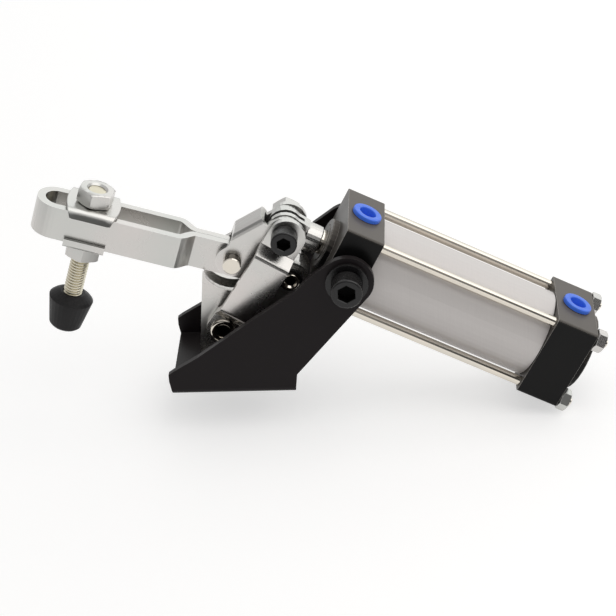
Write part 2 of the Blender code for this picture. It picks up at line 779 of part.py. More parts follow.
# A round boss on an end block, between two levels, of which one lies in the block
def add_boss(block, name, radius, low, high):
    boss = turned(name, solid_profile(
        (radius - edge_chamfer, high), (radius, high - edge_chamfer),
        (radius, low + edge_chamfer), (radius - edge_chamfer, low)), None, cylinder_axis, along="x")
    boolean(block, boss, "UNION")


def build_head():
    middle = head_front + head_length / 2
    head = end_block("front_head", head_front, head_rear)
    add_boss(head, "head_boss", head_boss_radius, head_front - head_boss_height, middle)
    add_boss(head, "head_spigot", spigot_radius, middle, head_rear + spigot_length)
    hollow(head, "head_hollow", [
        (cushion_radius, cushion_front, head_rear + overrun),
        (bush_radius + seat_gap, head_front - overrun, cushion_front)])
    holes = [circle(place, tie_rod_radius + seat_gap, 16) for place in tie_places()]
    drill(head, "head_tie_holes", holes, head_rear - tie_rod_thread - seat_gap, head_rear + overrun,
          cylinder_axis, "front")
    drill_port(head, "head_port", front_port_place)
    side = block_width / 2
    for name, way in (("near", -1), ("far", 1)):
        low, high = sorted((way * (side - trunnion_thread - seat_gap), way * (side + overrun)))
        tool = outline_solid("trunnion_hole_" + name, [circle((0, 0), trunnion_screw_radius + seat_gap)],
                             low, high, None, cylinder_axis)
        boolean(head, tool, "DIFFERENCE")


def build_rear_cap():
    front = rear_cap_front
    rear = rear_cap_front + rear_cap_length
    middle = (front + rear) / 2
    cap = end_block("rear_cap", front, rear)
    add_boss(cap, "cap_boss", cap_boss_radius, middle, rear + cap_boss_height)
    add_boss(cap, "cap_spigot", spigot_radius, front - spigot_length, middle)
    hollow(cap, "cap_hollow", [(cushion_radius, front - overrun, cushion_rear)])
    holes = [circle(place, tie_rod_radius + seat_gap, 16) for place in tie_places()]
    drill(cap, "cap_tie_holes", holes, front - overrun, rear + overrun, cylinder_axis, "front")
    drill_port(cap, "cap_port", rear_port_place)


def build_tube():
    low = head_rear + seat_gap
    high = rear_cap_front - seat_gap
    profile = [(tube_inner_radius, high), (tube_outer_radius, high), (tube_outer_radius, low),
               (tube_inner_radius, low)]
    turned("tube", profile, satin_aluminium, cylinder_axis, along="x", closed=True, steps=48)


def build_tie_rods():
    seat = rear_cap_front + rear_cap_length + seat_gap
    low = head_rear - tie_rod_thread
    high = seat + tie_nut_height + tie_rod_tail
    inner = tie_rod_radius - edge_chamfer
    nut = nut_mesh("tie_nut", tie_nut_flats, tie_nut_height, tie_rod_radius + seat_gap)
    for number, (across, up) in enumerate(tie_places(), 1):
        turned(f"tie_rod_{number}", solid_profile(
            (inner, high), (tie_rod_radius, high - edge_chamfer), (tie_rod_radius, low + edge_chamfer),
            (inner, low)), bright_steel, cylinder_axis, (0, across, up), "x", steps=16)
        place_object(f"tie_nut_{number}", nut, zinc, cylinder_axis, (seat, across, up), turns["x"])


def build_ports():
    seat = block_width / 2 + seat_gap
    inner = port_radius - port_step
    low = block_width / 2 - port_depth + seat_gap
    top = seat + port_proud
    profile = [(port_hole_radius + edge_chamfer, top), (port_radius - edge_chamfer, top),
               (port_radius, top - edge_chamfer), (port_radius, seat), (inner, seat),
               (inner, low), (port_hole_radius, low), (port_hole_radius, top - edge_chamfer)]
    for name, place in (("front", front_port_place), ("rear", rear_port_place)):
        turned("port_fitting_" + name, profile, blue_collar, cylinder_axis, (place, 0, 0), closed=True)


def build_bush():
    inner = rod_radius + running_gap
    split = cushion_front - seal_thickness
    low = head_front - head_boss_height - bush_proud
    profile = [(inner, split - seat_gap), (bush_radius, split - seat_gap), (bush_radius, low + edge_chamfer),
               (bush_radius - edge_chamfer, low), (inner, low)]
    turned("rod_bush", profile, black_aluminium, cylinder_axis, along="x", closed=True)
    high = cushion_front - seat_gap
    profile = [(inner, high), (bush_radius, high), (bush_radius, split), (inner, split)]
    turned("rod_seal", profile, rubber, cylinder_axis, along="x", closed=True)


# Trunnion screws: threaded into the head, with a shoulder that turns in the base channel's ears
def build_trunnions():
    block = block_width / 2
    plate = base_width / 2
    washer = plate + running_gap
    seat = washer + trunnion_washer_thickness + seat_gap
    deep = block - trunnion_thread
    shank = [(trunnion_shoulder_radius, seat), (trunnion_shoulder_radius, block + seat_gap),
             (trunnion_screw_radius, block + seat_gap), (trunnion_screw_radius, deep + edge_chamfer),
             (trunnion_screw_radius - edge_chamfer, deep)]
    for name, side in (("near", -1), ("far", 1)):
        socket_screw("trunnion_screw_" + name, shank, trunnion_head_radius, trunnion_head_height,
                     trunnion_socket, black_screw, cylinder_axis, (0, 0, 0), (-side * pi / 2, 0, 0))
        ring("trunnion_washer_" + name, trunnion_shoulder_radius + seat_gap, trunnion_washer_radius,
             washer, trunnion_washer_thickness, black_screw, cylinder_axis, (0, 0, 0), side)


# Rod end: a forked eye on the links' top screw, with a round neck for the rod
def build_fork():
    eye = -rod_reach
    shoulder = eye + fork_neck_start
    hole = circle((eye, 0), top_screw_radius + fork_hole_play)
    flat = fork_neck_radius - edge_chamfer
    outline = arc((eye, 0), fork_eye_radius, fork_flank_angle, 2 * pi - fork_flank_angle, 14)
    outline += [(shoulder + edge_chamfer, -flat), (shoulder + edge_chamfer, flat)]
    fork = outline_solid("rod_fork", [outline, hole], -fork_half_width, fork_half_width, zinc, rod_axis)
    end = eye + fork_neck_end
    neck = turned("fork_neck", solid_profile(
        (fork_neck_radius - edge_chamfer, end), (fork_neck_radius, end - edge_chamfer),
        (fork_neck_radius, shoulder)), None, rod_axis, along="x")
    boolean(fork, neck, "UNION")
    slot = [(eye - fork_eye_radius - overrun, -fork_slot_half), (eye + fork_slot_floor, -fork_slot_half),
            (eye + fork_slot_floor, fork_slot_half), (eye - fork_eye_radius - overrun, fork_slot_half)]
    drill(fork, "fork_slot", [slot], -base_width, base_width, rod_axis)
    bore = rod_stud_radius + seat_gap
    socket = turned("fork_socket", solid_profile(
        (bore, end + overrun), (bore, end - rod_stud_length - seat_gap)),
        None, rod_axis, along="x", steps=small_round_steps)
    boolean(fork, socket, "DIFFERENCE")


def build_rod():
    start = -rod_reach + fork_neck_end + seat_gap
    shoulder = piston_front + seat_gap
    tail = piston_front + piston_length + piston_nut_height + 2 * seat_gap + rod_tail
    turned("piston_rod", solid_profile(
        (rod_stud_radius - edge_chamfer, tail), (rod_stud_radius, tail - edge_chamfer),
        (rod_stud_radius, shoulder), (rod_radius, shoulder), (rod_radius, start), (rod_stud_radius, start),
        (rod_stud_radius, start - rod_stud_length)), bright_steel, rod_axis, along="x")
    outer = tube_inner_radius - piston_clearance
    groove = outer - seal_groove_depth
    bore = rod_stud_radius + seat_gap
    front = piston_front + 2 * seat_gap
    rear = front + piston_length - 2 * seat_gap
    middles = [front + piston_length * seal_groove_share, rear - piston_length * seal_groove_share]
    profile = [(bore, rear), (outer, rear)]
    for middle in middles[::-1]:
        high = middle + seal_groove_width / 2
        low = middle - seal_groove_width / 2
        profile += [(outer, high), (groove, high), (groove, low), (outer, low)]
    profile += [(outer, front), (bore, front)]
    turned("piston", profile, satin_aluminium, rod_axis, along="x", closed=True)
    for number, middle in enumerate(middles, 1):
        high = middle + seal_groove_width / 2 - seat_gap
        low = middle - seal_groove_width / 2 + seat_gap
        profile = [(groove + seat_gap, high), (outer + piston_clearance / 2, high),
                   (outer + piston_clearance / 2, low), (groove + seat_gap, low)]
        turned(f"piston_seal_{number}", profile, rubber, rod_axis, along="x", closed=True)
    nut = nut_mesh("piston_nut", piston_nut_flats, piston_nut_height, bore)
    place_object("piston_nut", nut, zinc, rod_axis, (rear + seat_gap, 0, 0), turns["x"])


build_base_channel()
build_post("post_near", -1)
build_post("post_far", 1)
build_foot_rivets()
build_bar_pivot()
build_link_pivot()
build_link("link_near", -1)
build_link("link_far", 1)
build_top_screw()
build_knuckle()
build_bar()
build_saddle("saddle_washer_top", 1)
build_saddle("saddle_washer_bottom", -1)
build_spindle()
build_rubber_cap()
build_head()
build_rear_cap()
build_tube()
build_tie_rods()
build_ports()
build_bush()
build_trunnions()
build_fork()
build_rod()
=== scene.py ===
# Pneumatic toggle clamp on a pale studio floor, seen from the near side and a little above

import json
from math import atan2, cos, pi, radians, sin, sqrt

import bmesh
import bpy
from mathutils import Matrix, Vector


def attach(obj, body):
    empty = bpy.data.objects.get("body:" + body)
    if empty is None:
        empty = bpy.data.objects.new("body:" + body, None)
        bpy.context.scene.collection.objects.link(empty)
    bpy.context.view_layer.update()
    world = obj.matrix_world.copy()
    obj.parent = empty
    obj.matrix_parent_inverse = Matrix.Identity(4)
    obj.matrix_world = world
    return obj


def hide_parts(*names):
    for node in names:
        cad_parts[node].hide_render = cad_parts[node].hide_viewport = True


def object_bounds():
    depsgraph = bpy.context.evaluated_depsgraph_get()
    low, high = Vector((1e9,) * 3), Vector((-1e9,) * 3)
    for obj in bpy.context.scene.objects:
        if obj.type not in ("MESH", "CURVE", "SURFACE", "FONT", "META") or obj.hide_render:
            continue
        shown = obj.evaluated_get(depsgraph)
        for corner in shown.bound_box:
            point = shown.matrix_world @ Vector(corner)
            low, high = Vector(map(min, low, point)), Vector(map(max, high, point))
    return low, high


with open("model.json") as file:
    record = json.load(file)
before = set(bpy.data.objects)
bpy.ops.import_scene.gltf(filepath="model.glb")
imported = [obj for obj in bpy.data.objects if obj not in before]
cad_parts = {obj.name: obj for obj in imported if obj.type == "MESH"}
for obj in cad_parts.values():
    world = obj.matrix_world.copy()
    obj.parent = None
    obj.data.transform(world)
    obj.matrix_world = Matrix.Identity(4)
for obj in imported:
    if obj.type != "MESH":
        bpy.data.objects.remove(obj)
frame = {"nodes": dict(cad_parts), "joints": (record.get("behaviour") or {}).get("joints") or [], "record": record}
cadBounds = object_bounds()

scene = bpy.context.scene
weldDistance = 0.000001
roundSteps = (0, 0.4, 0.8, 1.2, pi / 2)  # quarter turn of a rolled or rounded rim
softSteps = (0, 0.5, 1.0, pi / 2)  # quarter turn of a small edge

# Camera and light: the numbers a user would change first
cameraSettings = {
    "target": (0.03613, 0.0, 0.03045),
    "distance": 1.0798,
    "elevation": radians(29.5),
    "azimuth": radians(3.3),
    "roll": radians(-3.0),
    "focalPixels": 2213.5,
    "imagePixels": 616,
    "sensorWidth": 36.0,
    "clipEnd": 20,
}

lightSettings = {
    "skyStrength": 0.50,
    "skyColour": (1.0, 1.0, 1.0),
    "mirrorSky": 0.70,
    "roomShade": 0.95,
    "roomSide": (-0.20, -0.60),
    "roomTop": (0.42, 0.56),
    "lampTarget": (0.05, 0, 0.04),
    "keySize": (1.4, 1.2),
    "keyPower": 5.4,
    "keyColour": (1.0, 0.985, 0.965),
    "keyPlace": (0.62, -0.12, 0.98),
    "backSize": (1.6, 0.9),
    "backPower": 2.5,
    "backColour": (0.965, 1.0, 0.985),
    "backPlace": (0.35, 1.00, 0.60),
    "floorColour": (0.62, 0.615, 0.61),
    "floorRoughness": 0.9,
    "floorSpecular": 0.1,
    "floorGlow": 0.52,
    "floorDrop": 0.0015,
    "floorSize": 0.8,
}


def directionOf(azimuth, elevation):
    return Vector((sin(azimuth) * cos(elevation), -cos(azimuth) * cos(elevation), sin(elevation)))


def makeCamera(s):
    back = directionOf(s["azimuth"], s["elevation"])
    right = (-back).cross(Vector((0, 0, 1))).normalized()
    up = right.cross(-back)
    turnedRight = right * cos(s["roll"]) + up * sin(s["roll"])
    turnedUp = up * cos(s["roll"]) - right * sin(s["roll"])
    data = bpy.data.cameras.new("camera")
    data.sensor_width = s["sensorWidth"]
    data.lens = s["sensorWidth"] * s["focalPixels"] / s["imagePixels"]
    data.clip_end = s["clipEnd"]
    camera = bpy.data.objects.new("camera", data)
    scene.collection.objects.link(camera)
    place = Vector(s["target"]) + back * s["distance"]
    turn = Matrix((turnedRight, turnedUp, back)).transposed().to_4x4()
    camera.matrix_world = Matrix.Translation(place) @ turn
    scene.camera = camera


def makeLamp(name, s):
    data = bpy.data.lights.new(name, "AREA")
    data.shape = "RECTANGLE"
    data.size, data.size_y = s[name + "Size"]
    data.energy = s[name + "Power"]
    data.color = s[name + "Colour"]
    place = s[name + "Place"]
    lamp = bpy.data.objects.new(name, data)
    scene.collection.objects.link(lamp)
    lamp.location = place
    aim = Vector(s["lampTarget"]) - Vector(place)
    lamp.rotation_euler = aim.to_track_quat("-Z", "Y").to_euler()


# Small helpers for node trees
def addNode(tree, kind, **settings):
    node = tree.nodes.new(kind)
    for key, value in settings.items():
        if hasattr(node, key):
            setattr(node, key, value)
        else:
            node.inputs[key].default_value = value
    return node


def newMaterial(name):
    material = bpy.data.materials.new(name)
    material.use_nodes = True
    tree = material.node_tree
    shader = tree.nodes["Principled BSDF"]
    return material, tree, shader


def newGroup(name, inputs, outputs):
    tree = bpy.data.node_groups.new(name, "ShaderNodeTree")
    for label, value in inputs.items():
        socket = tree.interface.new_socket(label, in_out="INPUT", socket_type="NodeSocketFloat")
        socket.default_value = value
    for label in outputs:
        tree.interface.new_socket(label, in_out="OUTPUT", socket_type="NodeSocketFloat")
    start = tree.nodes.new("NodeGroupInput")
    end = tree.nodes.new("NodeGroupOutput")
    return tree, start, end


def placeGroup(tree, group, **values):
    node = tree.nodes.new("ShaderNodeGroup")
    node.node_tree = group
    for key, value in values.items():
        node.inputs[key.replace("_", " ")].default_value = value
    return node


def mapRange(tree, source, fromLow, fromHigh, toLow, toHigh):
    node = tree.nodes.new("ShaderNodeMapRange")
    for index, value in enumerate((fromLow, fromHigh, toLow, toHigh), 1):
        node.inputs[index].default_value = value
    tree.links.new(source, node.inputs[0])
    return node.outputs[0]


def multiply(tree, first, second):
    node = addNode(tree, "ShaderNodeMath", operation="MULTIPLY")
    tree.links.new(first, node.inputs[0])
    tree.links.new(second, node.inputs[1])
    return node.outputs[0]


# The amount is a socket, and each colour is a socket or a tuple
def mixColour(tree, amount, first, second):
    node = tree.nodes.new("ShaderNodeMix")
    node.data_type = "RGBA"
    for socket, value in ((node.inputs[0], amount), (node.inputs[6], first), (node.inputs[7], second)):
        if isinstance(value, tuple):
            socket.default_value = (*value, 1)
        else:
            tree.links.new(value, socket)
    return node.outputs[2]


# How far a face looks up, from none to full between two heights of its normal
def facingUp(tree, heights):
    geometry = tree.nodes.new("ShaderNodeNewGeometry")
    split = tree.nodes.new("ShaderNodeSeparateXYZ")
    tree.links.new(geometry.outputs["Normal"], split.inputs[0])
    return mapRange(tree, split.outputs[2], *heights, 0.0, 1.0)


# Worn edges: where a rounded normal leaves the face's own, broken up by noise
wearSettings = {
    "low": 0.02, "high": 0.20, "breakup": 900.0, "radius": 0.00045, "samples": 6,
    "detail": 4.0, "roughness": 0.6, "noise": (0.3, 0.6), "leastWear": 0.4,
}


def makeEdgeWear(s):
    inputs = {"Low": s["low"], "High": s["high"], "Breakup": s["breakup"]}
    tree, start, end = newGroup("edgeWear", inputs, ["Mask"])
    geometry = tree.nodes.new("ShaderNodeNewGeometry")
    rounded = tree.nodes.new("ShaderNodeBevel")
    rounded.samples = s["samples"]
    rounded.inputs["Radius"].default_value = s["radius"]
    meet = addNode(tree, "ShaderNodeVectorMath", operation="DOT_PRODUCT")
    tree.links.new(geometry.outputs["Normal"], meet.inputs[0])
    tree.links.new(rounded.outputs[0], meet.inputs[1])
    away = addNode(tree, "ShaderNodeMath", operation="SUBTRACT")
    away.inputs[0].default_value = 1.0
    tree.links.new(meet.outputs["Value"], away.inputs[1])
    sharp = tree.nodes.new("ShaderNodeMapRange")
    tree.links.new(away.outputs[0], sharp.inputs[0])
    tree.links.new(start.outputs["Low"], sharp.inputs[1])
    tree.links.new(start.outputs["High"], sharp.inputs[2])
    place = tree.nodes.new("ShaderNodeTexCoord")
    noise = addNode(tree, "ShaderNodeTexNoise", Detail=s["detail"], Roughness=s["roughness"])
    tree.links.new(place.outputs["Object"], noise.inputs["Vector"])
    tree.links.new(start.outputs["Breakup"], noise.inputs["Scale"])
    level = mapRange(tree, noise.outputs[0], *s["noise"], s["leastWear"], 1.0)
    tree.links.new(multiply(tree, sharp.outputs[0], level), end.inputs["Mask"])
    return tree


# Handling marks: long faint scratches and cloudy smears
handlingSettings = {
    "scratchScale": 350.0, "scratchDetail": 6.0, "scratchRoughness": 0.75, "scratches": (0.56, 0.70),
    "stretch": (1.0, 6.0, 1.0), "turn": (0.3, 0.2, 0.5),
    "cloudScale": 60.0, "cloudDetail": 3.0, "cloudRoughness": 0.5, "clouds": (0.3, 0.7),
}


def makeHandling(s):
    inputs = {"Scratch Scale": s["scratchScale"], "Cloud Scale": s["cloudScale"]}
    tree, start, end = newGroup("handlingMarks", inputs, ["Scratches", "Clouds"])
    place = tree.nodes.new("ShaderNodeTexCoord")
    stretch = tree.nodes.new("ShaderNodeMapping")
    stretch.inputs["Scale"].default_value = s["stretch"]
    stretch.inputs["Rotation"].default_value = s["turn"]
    tree.links.new(place.outputs["Object"], stretch.inputs["Vector"])
    lines = addNode(tree, "ShaderNodeTexNoise", Detail=s["scratchDetail"], Roughness=s["scratchRoughness"])
    tree.links.new(stretch.outputs[0], lines.inputs["Vector"])
    tree.links.new(start.outputs["Scratch Scale"], lines.inputs["Scale"])
    tree.links.new(mapRange(tree, lines.outputs[0], *s["scratches"], 0.0, 1.0), end.inputs["Scratches"])
    clouds = addNode(tree, "ShaderNodeTexNoise", Detail=s["cloudDetail"], Roughness=s["cloudRoughness"])
    tree.links.new(place.outputs["Object"], clouds.inputs["Vector"])
    tree.links.new(start.outputs["Cloud Scale"], clouds.inputs["Scale"])
    tree.links.new(mapRange(tree, clouds.outputs[0], *s["clouds"], 0.0, 1.0), end.inputs["Clouds"])
    return tree


# Fine dust that settles on faces that look up
dustSettings = {
    "amount": 0.3, "heights": (0.3, 1.0), "scale": 1400.0, "detail": 5.0, "roughness": 0.7,
    "specks": (0.5, 0.72),
}


def makeDust(s):
    tree, start, end = newGroup("settledDust", {"Amount": s["amount"]}, ["Mask"])
    place = tree.nodes.new("ShaderNodeTexCoord")
    specks = addNode(tree, "ShaderNodeTexNoise", Scale=s["scale"], Detail=s["detail"],
                     Roughness=s["roughness"])
    tree.links.new(place.outputs["Object"], specks.inputs["Vector"])
    level = mapRange(tree, specks.outputs[0], *s["specks"], 0.0, 1.0)
    settled = multiply(tree, facingUp(tree, s["heights"]), level)
    tree.links.new(multiply(tree, settled, start.outputs["Amount"]), end.inputs["Mask"])
    return tree


# Painted sheen: an even lightening of faces that look up, standing in for light falling from above
paintedSheenSettings = {"amount": 0.3, "heights": (0.1, 0.9)}


def makePaintedSheen(s):
    tree, start, end = newGroup("paintedTopSheen", {"Amount": s["amount"]}, ["Mask"])
    mask = multiply(tree, facingUp(tree, s["heights"]), start.outputs["Amount"])
    tree.links.new(mask, end.inputs["Mask"])
    return tree


# Fine grain of a plated, painted or moulded skin
grainSettings = {"Scale": 1000.0, "Detail": 4.0, "Roughness": 0.6}


def makeGrain(s):
    tree, start, end = newGroup("fineGrain", s, ["Height"])
    place = tree.nodes.new("ShaderNodeTexCoord")
    noise = tree.nodes.new("ShaderNodeTexNoise")
    tree.links.new(place.outputs["Object"], noise.inputs["Vector"])
    for label in s:
        tree.links.new(start.outputs[label], noise.inputs[label])
    tree.links.new(noise.outputs[0], end.inputs["Height"])
    return tree


edgeWear = makeEdgeWear(wearSettings)
handlingMarks = makeHandling(handlingSettings)
settledDust = makeDust(dustSettings)
paintedTopSheen = makePaintedSheen(paintedSheenSettings)
fineGrain = makeGrain(grainSettings)
print("shared effects ready")


def bumpFrom(tree, height, strength, distance, shader):
    bump = addNode(tree, "ShaderNodeBump", Strength=strength, Distance=distance)
    tree.links.new(height, bump.inputs["Height"])
    tree.links.new(bump.outputs[0], shader.inputs["Normal"])


# Metal with clouds, scratches and brighter edges, and a painted sheen on faces that look up where the settings
# give its colour
def makeMetal(name, s):
    material, tree, shader = newMaterial(name)
    shader.inputs["Metallic"].default_value = s["metallic"]
    shader.inputs["Specular IOR Level"].default_value = s["specular"]
    marks = placeGroup(tree, handlingMarks, Scratch_Scale=s["scratchScale"], Cloud_Scale=s["cloudScale"])
    wear = placeGroup(tree, edgeWear, Low=s["wearLow"], High=s["wearHigh"])
    clouded = mixColour(tree, marks.outputs["Clouds"], s["colour"], s["cloudColour"])
    if "paintedSheenColour" in s:
        # painted sheen: faces that look up are lightened to stand in for light from above
        paintedSheen = placeGroup(tree, paintedTopSheen, Amount=s["paintedSheen"])
        clouded = mixColour(tree, paintedSheen.outputs["Mask"], clouded, s["paintedSheenColour"])
    worn = mixColour(tree, wear.outputs["Mask"], clouded, s["edgeColour"])
    tree.links.new(worn, shader.inputs["Base Color"])
    smear = mapRange(tree, marks.outputs["Clouds"], 0.0, 1.0, *s["roughness"])
    rough = addNode(tree, "ShaderNodeMath", operation="MULTIPLY_ADD")
    rough.inputs[1].default_value = s["scratchRoughness"]
    tree.links.new(marks.outputs["Scratches"], rough.inputs[0])
    tree.links.new(smear, rough.inputs[2])
    tree.links.new(rough.outputs[0], shader.inputs["Roughness"])
    grain = placeGroup(tree, fineGrain, Scale=s["grainScale"])
    bumpFrom(tree, grain.outputs["Height"], s["grainStrength"], s["grainDepth"], shader)
    return material


zincSettings = {
    "metallic": 1.0, "specular": 0.5, "colour": (0.640, 0.605, 0.585), "cloudColour": (0.590, 0.600, 0.575),
    "edgeColour": (0.86, 0.86, 0.84), "roughness": (0.24, 0.31), "scratchRoughness": 0.03,
    "scratchScale": 300.0, "cloudScale": 26.0, "wearLow": 0.03, "wearHigh": 0.25,
    "grainScale": 500.0, "grainStrength": 0.02, "grainDepth": 0.0001,
}
zinc = makeMetal("zincPlate", zincSettings)

# The spindle's plate is yellower
studSettings = {**zincSettings, "colour": (0.68, 0.63, 0.50), "cloudColour": (0.62, 0.58, 0.46)}
studPlate = makeMetal("studPlate", studSettings)

# Edges where the saw and the mill cut through the head's and the cap's black skin
cutSettings = {
    **zincSettings, "colour": (0.80, 0.77, 0.73), "cloudColour": (0.62, 0.60, 0.57),
    "edgeColour": (0.86, 0.84, 0.81), "metallic": 0.15, "roughness": (0.35, 0.45),
}
cutAluminium = makeMetal("cutAluminium", cutSettings)

brightSettings = {
    "metallic": 1.0, "specular": 0.5, "colour": (0.74, 0.685, 0.60), "cloudColour": (0.68, 0.64, 0.57),
    "edgeColour": (0.90, 0.89, 0.87), "roughness": (0.06, 0.09), "scratchRoughness": 0.03,
    "scratchScale": 500.0, "cloudScale": 60.0, "wearLow": 0.03, "wearHigh": 0.25,
    "grainScale": 900.0, "grainStrength": 0.01, "grainDepth": 0.0001,
}
brightSteel = makeMetal("brightSteel", brightSettings)

# The haze and its colour here are a painted sheen: faces that look up are lightened as if lit from above
blackSteelSettings = {
    "metallic": 0.0, "specular": 0.16, "colour": (0.0095, 0.0070, 0.0078),
    "cloudColour": (0.0112, 0.0085, 0.0092), "edgeColour": (0.070, 0.066, 0.066),
    "roughness": (0.34, 0.40), "scratchRoughness": 0.03, "paintedSheen": 0.10, "paintedSheenColour": (0.10, 0.095, 0.09),
    "scratchScale": 260.0, "cloudScale": 45.0, "wearLow": 0.05, "wearHigh": 0.40,
    "grainScale": 1100.0, "grainStrength": 0.04, "grainDepth": 0.0002,
}
blackSteel = makeMetal("blackSteel", blackSteelSettings)

# The haze and its colour here are a painted sheen: faces that look up are lightened as if lit from above
blackScrewSettings = {
    "metallic": 0.0, "specular": 0.42, "colour": (0.0035, 0.0032, 0.0036),
    "cloudColour": (0.0060, 0.0055, 0.0060), "edgeColour": (0.080, 0.080, 0.082),
    "roughness": (0.20, 0.28), "scratchRoughness": 0.05, "paintedSheen": 0.12, "paintedSheenColour": (0.12, 0.115, 0.11),
    "scratchScale": 500.0, "cloudScale": 150.0, "wearLow": 0.05, "wearHigh": 0.45,
    "grainScale": 1800.0, "grainStrength": 0.05, "grainDepth": 0.0001,
}
blackScrew = makeMetal("blackScrew", blackScrewSettings)

# The strong haze here is a painted sheen: the head's and the cap's top faces are lightened to stand in for light
# reflected from above
anodisedSettings = {
    "metallic": 0.0, "specular": 0.16, "colour": (0.0050, 0.0048, 0.0048),
    "cloudColour": (0.0062, 0.0060, 0.0060), "edgeColour": (0.50, 0.48, 0.45),
    "roughness": (0.30, 0.35), "scratchRoughness": 0.02, "paintedSheen": 0.66, "paintedSheenColour": (0.20, 0.180, 0.160),
    "scratchScale": 420.0, "cloudScale": 60.0, "wearLow": 0.02, "wearHigh": 0.14,
    "grainScale": 2400.0, "grainStrength": 0.015, "grainDepth": 0.0001,
}
blackAnodised = makeMetal("blackAnodised", anodisedSettings)

# Painted shade: a near-black finish for the inside of bores and sockets, where shade falls
boreShadeSettings = {
    "metallic": 0.0, "specular": 0.10, "colour": (0.0022, 0.0020, 0.0020),
    "cloudColour": (0.0040, 0.0036, 0.0034), "edgeColour": (0.02, 0.02, 0.02),
    "roughness": (0.55, 0.65), "scratchRoughness": 0.05,
    "scratchScale": 500.0, "cloudScale": 300.0, "wearLow": 0.2, "wearHigh": 0.8,
    "grainScale": 1800.0, "grainStrength": 0.05, "grainDepth": 0.0001,
}
paintedBoreShade = makeMetal("paintedBoreShade", boreShadeSettings)
print("metals ready")

# Pivots and directions that the pieces share
joints = {joint["name"]: joint for joint in frame["joints"]}
slideAxis = Vector(joints["rod_slide"]["axis"])
tubeTilt = atan2(-slideAxis.z, slideAxis.x)
tubeAlong = slideAxis.normalized()
tubeUp = Vector((-tubeAlong.z, 0, tubeAlong.x))
barTilt = radians(17.44)
barAlong = Vector((-cos(barTilt), 0, sin(barTilt)))
barUp = Vector((sin(barTilt), 0, cos(barTilt)))
nearSide = Vector((0, -1, 0))
farSide = Vector((0, 1, 0))
lengthwise = Vector((1, 0, 0))


def pivotOf(jointName):
    x, y, z = joints[jointName]["pos_m"]
    return Vector((x, 0, z))  # all pivots are taken at the clamp's middle


barPivot = pivotOf("bar_swing")
linkPivot = pivotOf("link_swing")
topPivot = pivotOf("knuckle_swing")
trunnionPivot = pivotOf("cylinder_swing")

# Satin tube: fine lines round the barrel
tubeSettings = {
    "metallic": 0.15, "colour": (0.735, 0.700, 0.680), "lineColour": (0.675, 0.640, 0.622),
    "roughness": (0.40, 0.45), "stretch": (1.0, 0.02, 0.02), "lineScale": 3400.0, "lineDetail": 4.0,
    "lineRoughness": 0.6, "lineStrength": 0.05, "lineDepth": 0.00005,
    "scratchScale": 200.0, "cloudScale": 30.0,
}


def makeSatinTube(s):
    material, tree, shader = newMaterial("satinTube")
    shader.inputs["Metallic"].default_value = s["metallic"]
    place = tree.nodes.new("ShaderNodeTexCoord")
    stretch = tree.nodes.new("ShaderNodeMapping")
    stretch.inputs["Rotation"].default_value = (0, -tubeTilt, 0)
    stretch.inputs["Scale"].default_value = s["stretch"]
    tree.links.new(place.outputs["Object"], stretch.inputs["Vector"])
    lines = addNode(tree, "ShaderNodeTexNoise", Scale=s["lineScale"], Detail=s["lineDetail"],
                    Roughness=s["lineRoughness"])
    tree.links.new(stretch.outputs[0], lines.inputs["Vector"])
    marks = placeGroup(tree, handlingMarks, Scratch_Scale=s["scratchScale"], Cloud_Scale=s["cloudScale"])
    colour = mixColour(tree, lines.outputs[0], s["colour"], s["lineColour"])
    tree.links.new(colour, shader.inputs["Base Color"])
    tree.links.new(mapRange(tree, marks.outputs["Clouds"], 0, 1, *s["roughness"]), shader.inputs["Roughness"])
    bumpFrom(tree, lines.outputs[0], s["lineStrength"], s["lineDepth"], shader)
    return material


# Blue collar: moulded plastic with a soft shine
blueSettings = {
    "colour": (0.060, 0.205, 0.930), "shade": (0.050, 0.180, 0.880), "roughness": (0.30, 0.40),
    "scratchScale": 900.0, "cloudScale": 260.0, "scratchStrength": 0.05, "scratchDepth": 0.0001,
}


def makeBlue(s):
    material, tree, shader = newMaterial("bluePlastic")
    marks = placeGroup(tree, handlingMarks, Scratch_Scale=s["scratchScale"], Cloud_Scale=s["cloudScale"])
    colour = mixColour(tree, marks.outputs["Clouds"], s["colour"], s["shade"])
    tree.links.new(colour, shader.inputs["Base Color"])
    tree.links.new(mapRange(tree, marks.outputs["Clouds"], 0, 1, *s["roughness"]), shader.inputs["Roughness"])
    bumpFrom(tree, marks.outputs["Scratches"], s["scratchStrength"], s["scratchDepth"], shader)
    return material


# Rubber: dull black with a fine moulded grain and a little dust
rubberSettings = {
    "colour": (0.0095, 0.0090, 0.0095), "dustColour": (0.050, 0.042, 0.042), "dust": 0.35,
    "roughness": (0.42, 0.55), "specular": 0.25, "scratchScale": 500.0, "cloudScale": 120.0,
    "grainScale": 2400.0, "grainDetail": 3.0, "grainRoughness": 0.5,
    "grainStrength": 0.25, "grainDepth": 0.0002,
}


def makeRubber(s):
    material, tree, shader = newMaterial("blackRubber")
    shader.inputs["Specular IOR Level"].default_value = s["specular"]
    marks = placeGroup(tree, handlingMarks, Scratch_Scale=s["scratchScale"], Cloud_Scale=s["cloudScale"])
    dust = placeGroup(tree, settledDust, Amount=s["dust"])
    colour = mixColour(tree, dust.outputs["Mask"], s["colour"], s["dustColour"])
    tree.links.new(colour, shader.inputs["Base Color"])
    tree.links.new(mapRange(tree, marks.outputs["Clouds"], 0, 1, *s["roughness"]), shader.inputs["Roughness"])
    grain = placeGroup(tree, fineGrain, Scale=s["grainScale"], Detail=s["grainDetail"],
                       Roughness=s["grainRoughness"])
    bumpFrom(tree, grain.outputs["Height"], s["grainStrength"], s["grainDepth"], shader)
    return material


